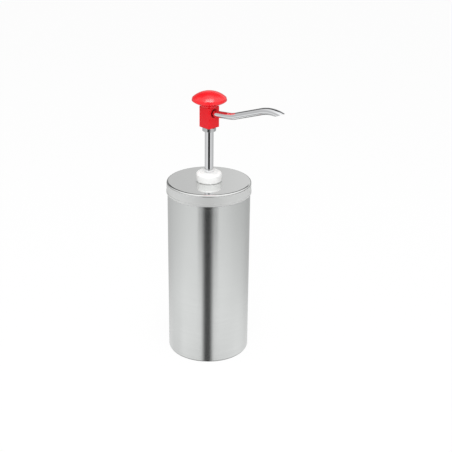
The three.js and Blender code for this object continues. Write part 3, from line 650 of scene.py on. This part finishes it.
def head_nut():
    """Hexagonal nut with slightly crowned flats, turned down by cones at both ends."""
    low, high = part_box("head_nut")
    flat = high.y
    crown = flat * tan(pi / 6) / sin(HEAD_NUT_CROWN_ANGLE)
    corner_angle = pi / 6 - HEAD_NUT_CORNER_ANGLE
    section = []
    for side in range(6):
        middle = pi / 6 + side * pi / 3
        for step in range(-HEAD_NUT_STEPS, HEAD_NUT_STEPS + 1):
            spread = corner_angle * step / HEAD_NUT_STEPS
            sag = (flat * tan(spread)) ** 2 / (2 * crown)
            section.append(Vector(((flat - sag) / cos(spread), middle + spread)))
    bm = bmesh.new()
    rings = [
        [bm.verts.new((radius * cos(turn), radius * sin(turn), level)) for radius, turn in section]
        for level in (low.z, high.z)
    ]
    for end in rings:
        bm.faces.new(end)
    join_rings(bm, rings)
    face = flat * HEAD_NUT_FACE_SHARE
    reach = high.x + CUT_OVERRUN
    rise = (reach - face) * tan(HEAD_NUT_CHAMFER_ANGLE)
    chamfers = [
        lathe([
            (face, outward * CUT_OVERRUN),
            (face, 0),
            (reach, -outward * rise),
            (reach, outward * CUT_OVERRUN),
        ], level, SMALL_SIDES)
        for level, outward in ((low.z, -1), (high.z, 1))
    ]
    hole = bar_along(ROD_HOLE_RADIUS, (0, 0, low.z - CUT_OVERRUN), (0, 0, high.z + CUT_OVERRUN))
    finished("head_nut_hexagon", subtract(bm, hole, *chamfers), "nut_steel",
             body="plunger", replaced="head_nut")


def knob():
    """Dome over a steep rim band. The underside is a quarter of an ellipse bent by its fullness."""
    low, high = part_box("knob")
    radius = high.x
    rim_bottom = KNOB_NECK_HEIGHT + KNOB_UNDERSIDE_HEIGHT
    rim_top = rim_bottom + KNOB_RIM_HEIGHT
    hole = BLOCK_BOSS_RADIUS + THREAD_GAP
    neck = rounded([
        (0, BLOCK_BOSS_HEIGHT + THREAD_GAP),
        (hole, BLOCK_BOSS_HEIGHT + THREAD_GAP),
        (hole, 0),
        (KNOB_NECK_RADIUS, 0, KNOB_NECK_EDGE_RADIUS),
        (KNOB_NECK_RADIUS, KNOB_NECK_HEIGHT),
    ])
    fullness = KNOB_UNDERSIDE_FULLNESS
    neck_share = 1 - (KNOB_NECK_RADIUS / radius) ** fullness
    depth = KNOB_UNDERSIDE_HEIGHT / neck_share ** (1 / fullness)
    underside = []
    for step in range(KNOB_CURVE_STEPS, 0, -1):
        turn = pi / 2 * step / KNOB_CURVE_STEPS
        reach = radius * cos(turn) ** (2 / fullness)
        if KNOB_NECK_RADIUS < reach < radius - KNOB_RIM_EDGE_RADIUS / 2:
            underside.append((reach, rim_bottom - depth * sin(turn) ** (2 / fullness)))
    dome_height = high.z - low.z - rim_top
    dome_edge = radius - KNOB_RIM_INSET
    sphere = (dome_edge ** 2 + dome_height ** 2) / (2 * dome_height)
    dome = []
    for step in range(1, KNOB_CURVE_STEPS + 1):
        turn = 2 * atan(dome_height / dome_edge) * (1 - step / KNOB_CURVE_STEPS)
        dome.append((sphere * sin(turn), rim_top + dome_height - sphere * (1 - cos(turn))))
    rim = rounded([
        underside[-1],
        (radius, rim_bottom, KNOB_RIM_EDGE_RADIUS),
        (dome_edge, rim_top, KNOB_RIM_EDGE_RADIUS),
        dome[1],
    ])
    outline = neck + underside[:-1] + rim + dome[2:]
    finished("knob_moulding", lathe(outline, low.z), "knob_plastic",
             body="plunger", replaced="knob")


def head_block():
    low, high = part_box("head_block")
    top = high.z - BLOCK_BOSS_HEIGHT
    half = BLOCK_WIDTH / 2
    bm = bmesh.new()
    bmesh.ops.create_cube(bm, size=1)
    for vert in bm.verts:
        vert.co.x *= BLOCK_WIDTH
        vert.co.y *= BLOCK_WIDTH
        vert.co.z = low.z if vert.co.z < 0 else top
    bmesh.ops.bevel(bm, geom=bm.edges[:], offset=BLOCK_EDGE_RADIUS, offset_type="OFFSET",
                    segments=BLOCK_EDGE_STEPS, profile=0.5, affect="EDGES")
    spout_height = low.z + SPOUT_ROOT_HEIGHT

    def bar_up(radius, start, end):
        return bar_along(radius, (0, 0, start), (0, 0, end))

    def bar_out(radius, start):
        return bar_along(radius, (start, 0, spout_height), (half + CUT_OVERRUN, 0, spout_height))

    bm = subtract(
        bm,
        bar_up(ROD_HOLE_RADIUS, low.z - CUT_OVERRUN, low.z + BLOCK_SOCKET_DEPTH),
        bar_up(BLOCK_PASSAGE_RADIUS, low.z + BLOCK_PASSAGE_START, spout_height),
        bar_out(BLOCK_PASSAGE_RADIUS, 0),
        bar_out(SPOUT_RADIUS + THREAD_GAP / 2, half - SPOUT_SOCKET_DEPTH),
        bar_out(SPOUT_RADIUS + SPOUT_RECESS_MARGIN, half - SPOUT_RECESS_DEPTH),
    )
    boss_length = BLOCK_BOSS_HEIGHT + BLOCK_BOSS_ROOT
    boss = lathe([
        (0, 0),
        (BLOCK_BOSS_RADIUS, 0),
        (BLOCK_BOSS_RADIUS, boss_length),
        (0, boss_length),
    ], top - BLOCK_BOSS_ROOT, SMALL_SIDES)
    boss_mesh = bpy.data.meshes.new("boss")
    boss.to_mesh(boss_mesh)
    boss.free()
    bm.from_mesh(boss_mesh)
    bpy.data.meshes.remove(boss_mesh)
    # the block wears the darker copy of the red, a painted shade
    finished("head_block_moulding", bm, "block_plastic_painted_shade",
             body="plunger", replaced="head_block")


def spout_line(root_height):
    """Points on the spout's centre line in the XZ plane, and its last corner."""
    half = BLOCK_WIDTH / 2

    def along(start, angle, length):
        return start + Vector((cos(angle), 0, sin(angle))) * length

    inner = Vector((half - SPOUT_SOCKET_DEPTH + THREAD_GAP, 0, root_height))
    root = Vector((half + SPOUT_ROOT_LENGTH, 0, root_height))
    low = along(root, SPOUT_RUN_ANGLE, SPOUT_RUN_LENGTH)
    climb_length = (SPOUT_REACH - SPOUT_NOSE_LENGTH - low.x) / cos(SPOUT_CLIMB_ANGLE)
    high = along(low, SPOUT_CLIMB_ANGLE, climb_length)
    uncut_length = SPOUT_NOSE_LENGTH / cos(SPOUT_NOSE_ANGLE) + 2 * SPOUT_RADIUS
    end = along(high, SPOUT_NOSE_ANGLE, uncut_length)
    corners = [inner, root, low, high, end]
    points = [inner]

    def go_straight(stop):
        origin = points[-1].copy()
        straight = stop - origin
        count = max(1, round(straight.length / SPOUT_STEP))
        points.extend([origin + straight * (step / count) for step in range(1, count + 1)])

    for index, radius in enumerate(SPOUT_BEND_RADII, 1):
        corner = corners[index]
        before = (corners[index - 1] - corner).normalized()
        after = (corners[index + 1] - corner).normalized()
        reach = radius / tan(before.angle(after) / 2)
        start = corner + before * reach
        stop = corner + after * reach
        go_straight(start)
        count = max(SPOUT_LEAST_BEND_STEPS, round(2 * reach / SPOUT_STEP))
        for step in range(1, count + 1):
            share = step / count
            points.append(start * (1 - share) ** 2 + corner * (2 * share * (1 - share))
                          + stop * share ** 2)
    go_straight(end)
    return points, high


def spout_tube():
    """Bent pipe, cut slantwise at the mouth and open at both ends."""
    low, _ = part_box("head_block")
    points, last_corner = spout_line(low.z + SPOUT_ROOT_HEIGHT)
    bm = bmesh.new()
    root_rings = []
    for radius in (SPOUT_RADIUS, SPOUT_RADIUS - SPOUT_WALL):
        rings = []
        for index, point in enumerate(points):
            ahead = points[min(index + 1, len(points) - 1)] - points[max(index - 1, 0)]
            ahead.normalize()
            upward = Vector((-ahead.z, 0, ahead.x))
            rings.append(ring(bm, point, radius, Vector((0, 1, 0)), upward, SPOUT_SIDES))
        join_rings(bm, rings)
        root_rings.append(rings[0])
    join_rings(bm, root_rings)
    drop = SPOUT_NOSE_LENGTH * tan(SPOUT_NOSE_ANGLE) + SPOUT_RADIUS / cos(SPOUT_NOSE_ANGLE)
    tip = Vector((SPOUT_REACH, 0, last_corner.z + drop))
    cut_normal = Vector((sin(SPOUT_CUT_ANGLE), 0, -cos(SPOUT_CUT_ANGLE)))
    cut_zone = last_corner.x - SPOUT_CUT_ZONE
    nose = [vert for vert in bm.verts if vert.co.x > cut_zone]
    nose += [part for part in [*bm.edges, *bm.faces]
             if all(vert.co.x > cut_zone for vert in part.verts)]
    cut = bmesh.ops.bisect_plane(bm, geom=nose, plane_co=tip, plane_no=cut_normal,
                                 clear_outer=True, dist=CUT_TOLERANCE)
    lip = [part for part in cut["geom_cut"] if isinstance(part, bmesh.types.BMEdge)]
    bmesh.ops.bridge_loops(bm, edges=lip)
    finished("spout_pipe", bm, "chrome",
             body="plunger", replaced="spout_tube")


def return_spring():
    """Spring with a closed curl at each end."""
    low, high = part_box("return_spring")
    rise = high.z - low.z - 2 * SPRING_WIRE_RADIUS
    open_pitch = (rise - 2 * SPRING_CLOSED_PITCH) / (SPRING_CURLS - 2)
    steps = SPRING_CURLS * SPRING_STEPS_PER_CURL
    height = low.z + SPRING_WIRE_RADIUS
    upward = Vector((0, 0, 1))
    bm = bmesh.new()
    rings = []
    for step in range(steps + 1):
        turn = 2 * pi * step / SPRING_STEPS_PER_CURL
        outward = Vector((cos(turn), sin(turn), 0))
        centre = outward * SPRING_MEAN_RADIUS + upward * height
        rings.append(ring(bm, centre, SPRING_WIRE_RADIUS, outward, upward, SPRING_WIRE_SIDES))
        closed = step < SPRING_STEPS_PER_CURL or step >= steps - SPRING_STEPS_PER_CURL
        height += (SPRING_CLOSED_PITCH if closed else open_pitch) / SPRING_STEPS_PER_CURL
    join_rings(bm, rings)
    bm.faces.new(rings[0])
    bm.faces.new(reversed(rings[-1]))
    piece = finished("spring_wound", bm, "spring_steel",
                     body="turning_spring", replaced="return_spring")
    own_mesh(piece)


container()
lid()
collar_nut()
pump_barrel()
dip_tube()
plunger_tube()
head_nut()
knob()
head_block()
spout_tube()
return_spring()

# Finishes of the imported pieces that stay
node_finishes = {
    "neck_gasket": "seal_rubber",
    "guide_bush": "white_plastic",
    "rod_wiper": "seal_rubber",
    "foot_valve_body": "white_plastic",
    "foot_valve_seal": "seal_rubber",
    "inlet_ball_pin": "chrome",
    "inlet_ball": "chrome",
    "spring_washer": "chrome",
    "piston_body": "white_plastic",
    "piston_seal": "seal_rubber",
    "outlet_ball_pin": "chrome",
    "outlet_ball": "chrome",
    "tube_seal": "seal_rubber",
    # the seal's dark red is partly the painted shade of the recess round the spout's root
    "spout_seal": "red_silicone",
}
for node_name, finish_name in node_finishes.items():
    for node_slot in frame["nodes"][node_name].material_slots:
        node_slot.material = materials[finish_name]


# Camera at the photograph's angle

CAMERA_PLACE = Vector((978.9, -942.9, 773.4)) * MM
CAMERA_TARGET = Vector((17.9, 17.9, 195.45)) * MM
CAMERA_ROLL = radians(0.68)
CAMERA_LENS = 80  # in millimetres, like the sensor
CAMERA_SENSOR = 36
CAMERA_CLIP_END = 20


def add_camera():
    ahead = (CAMERA_TARGET - CAMERA_PLACE).normalized()
    right = ahead.cross(Vector((0, 0, 1))).normalized()
    up = right.cross(ahead)
    rolled_right = right * cos(CAMERA_ROLL) + up * sin(CAMERA_ROLL)
    rolled_up = up * cos(CAMERA_ROLL) - right * sin(CAMERA_ROLL)
    data = bpy.data.cameras.new("photo_camera")
    data.lens = CAMERA_LENS
    data.sensor_width = CAMERA_SENSOR
    data.clip_end = CAMERA_CLIP_END
    camera = bpy.data.objects.new("photo_camera", data)
    bpy.context.scene.collection.objects.link(camera)
    camera.matrix_world = Matrix.Translation(CAMERA_PLACE) @ Matrix(
        (rolled_right, rolled_up, -ahead)).transposed().to_4x4()
    bpy.context.scene.camera = camera


# Studio: a pale floor, a soft surround that metal sees with dark patches in it, and two lamps.
# A height is the Z of a direction of length 1. An azimuth is 0 towards the camera and grows to
# its right.

WHITE = (1, 1, 1, 1)
FLOOR_SIZE = 8.0
FLOOR_COLOUR = (0.93, 0.93, 0.93, 1)
FLOOR_WHITE_SHARE = 0.93  # of plain white in the floor that the camera sees
SURROUND_LEVEL = 0.64  # of the even light on everything
TOWARDS_CAMERA = Vector((1, -1, 0)).normalized()
RIGHT_OF_CAMERA = Vector((1, 1, 0)).normalized()
LAMP_TARGET = Vector((0, 0, 0.2))
# What metal sees, as (position, brightness): position 0 is straight down and 0.5 the horizon
HEIGHT_STOPS = [
    (0.10, 0.30), (0.16, 0.45), (0.20, 0.92), (0.235, 1.06), (0.265, 0.95), (0.285, 0.85),
    (0.31, 0.87), (0.35, 0.78), (0.42, 0.68), (0.48, 0.66), (0.62, 0.70), (0.68, 0.80),
    (0.84, 1.12), (0.95, 1.22),
]
# Each patch: its middle azimuth, half its width and its softness in degrees, then its lower
# height, its upper height and their softness, and its depth
DARK_PATCHES = {
    "low towards the camera": (-1.6, 13, 8, -2.0, -0.02, 0.05, 0.915),
    "seen in the rod and the nut": (-1, 27, 4, -0.35, -0.25, 0.012, 0.95),
    "towards the camera": (-1, 17, 8, -0.05, 0.42, 0.03, 0.74),
    "behind at table height": (-168, 30, 8, -0.22, 0.24, 0.05, 0.38),
    "behind to the left": (-150, 17, 5, 0.22, 0.88, 0.03, 0.78),
    "behind and above": (180, 38, 8, 0.42, 0.88, 0.03, 0.9),
    "behind on the left": (-135, 45, 3, 0.2, 2.0, 0.1, 0.17),
    "behind and low": (180, 60, 30, -2.0, -0.05, 0.1, 0.2),
    "under the left": (-112, 24, 12, -2.0, -0.53, 0.03, 0.22),
    "on the left": (-125, 50, 27, -0.44, 0.2, 0.05, 0.15),
    "on the right": (120, 60, 40, -0.45, 0.2, 0.05, 0.25),
}


def add_floor():
    """Pale floor that keeps shadows, looks nearly white to the camera and isn't mirrored."""
    bm = bmesh.new()
    bmesh.ops.create_grid(bm, x_segments=8, y_segments=8, size=FLOOR_SIZE / 2)
    mesh = bpy.data.meshes.new("studio_floor")
    bm.to_mesh(mesh)
    bm.free()
    floor = bpy.data.objects.new("studio_floor", mesh)
    bpy.context.scene.collection.objects.link(floor)
    material = bpy.data.materials.new("studio_floor")
    tree = NodeTree(material)
    diffuse = tree.add("ShaderNodeBsdfDiffuse")
    diffuse.inputs["Color"].default_value = FLOOR_COLOUR
    white = tree.add("ShaderNodeEmission")
    white.inputs["Strength"].default_value = 1
    path = tree.add("ShaderNodeLightPath")
    share = tree.math("MULTIPLY", path.outputs["Is Camera Ray"], FLOOR_WHITE_SHARE)
    output = tree.add("ShaderNodeOutputMaterial")
    tree.link(tree.mix_shaders(share, diffuse.outputs[0], white.outputs[0]),
              output.inputs["Surface"])
    mesh.materials.append(material)
    floor.visible_glossy = False


def add_world():
    """White for the camera, an even surround for light, and a level with patches for metal."""
    world = bpy.data.worlds.new("studio")
    world.cycles.sampling_method = "NONE"
    tree = NodeTree(world)
    place = tree.add("ShaderNodeTexCoord")

    def along(axis):
        node = tree.add("ShaderNodeVectorMath", operation="DOT_PRODUCT")
        tree.link(place.outputs["Generated"], node.inputs[0])
        node.inputs[1].default_value = axis
        return node.outputs["Value"]

    def soft_step(source, edge, softness, before=0, after=1):
        return tree.map_range(source, edge - softness, edge + softness, before, after,
                              interpolation_type="SMOOTHSTEP")

    def background(strength):
        node = tree.add("ShaderNodeBackground")
        node.inputs["Color"].default_value = WHITE
        node.inputs["Strength"].default_value = strength
        return node

    height = along((0, 0, 1))
    azimuth = tree.math("ARCTAN2", along(RIGHT_OF_CAMERA), along(TOWARDS_CAMERA))
    ramp = tree.add("ShaderNodeValToRGB")
    ramp.color_ramp.interpolation = "EASE"
    while len(ramp.color_ramp.elements) < len(HEIGHT_STOPS):
        ramp.color_ramp.elements.new(0.5)
    for element, (position, brightness) in zip(ramp.color_ramp.elements, HEIGHT_STOPS):
        element.position = position
        element.color = (brightness, brightness, brightness, 1)
    tree.link(tree.math("MULTIPLY_ADD", height, 0.5, 0.5), ramp.inputs[0])
    level = ramp.outputs[0]
    for middle, half, softness, low, high, rise, depth in DARK_PATCHES.values():
        turned = tree.math("SUBTRACT", azimuth, radians(middle))
        away = tree.math("ABSOLUTE", tree.math("WRAP", turned, pi, -pi))
        patch = soft_step(away, radians(half), radians(softness), depth, 0)
        patch = tree.math("MULTIPLY", patch, soft_step(height, low, rise))
        patch = tree.math("MULTIPLY", patch, soft_step(height, high, rise, 1, 0))
        level = tree.math("MULTIPLY", level, tree.math("SUBTRACT", 1, patch))

    mirrored = background(1)
    tree.link(level, mirrored.inputs["Color"])
    path = tree.add("ShaderNodeLightPath")
    surround = tree.mix_shaders(path.outputs["Is Glossy Ray"],
                                background(SURROUND_LEVEL).outputs[0], mirrored.outputs[0])
    seen = tree.mix_shaders(path.outputs["Is Camera Ray"], surround, background(1).outputs[0])
    output = tree.add("ShaderNodeOutputWorld")
    tree.link(seen, output.inputs["Surface"])
    bpy.context.scene.world = world


def add_lamp(name, place, size, power):
    data = bpy.data.lights.new(name, "AREA")
    data.shape = "SQUARE"
    data.size = size
    data.energy = power
    lamp = bpy.data.objects.new(name, data)
    bpy.context.scene.collection.objects.link(lamp)
    lamp.location = place
    aim = LAMP_TARGET - lamp.location
    lamp.rotation_euler = aim.to_track_quat("-Z", "Y").to_euler()
    return lamp


def spare_metal(lamp):
    """Leaves the lamp out of the metal, which mirrors the surround alone."""
    metal = {material for name, material in materials.items()
             if name.endswith("steel") or name == "chrome"}
    spared = bpy.data.collections.new(lamp.name + "_spares")
    for piece in bpy.context.scene.objects:
        if piece.type == "MESH" and piece.active_material in metal:
            spared.objects.link(piece)
    lamp.light_linking.receiver_collection = spared
    for member in spared.collection_objects:
        member.light_linking.link_state = "EXCLUDE"


add_camera()
add_floor()
add_world()
spare_metal(add_lamp("lamp_above", place=(0.27, -0.205, 2.0), size=0.85, power=14.2))
lamp_in_front = add_lamp("lamp_in_front", place=(1.3, -1.3, 1.3), size=0.9, power=18)
lamp_in_front.visible_glossy = False

bpy.context.scene.view_settings.view_transform = "Standard"
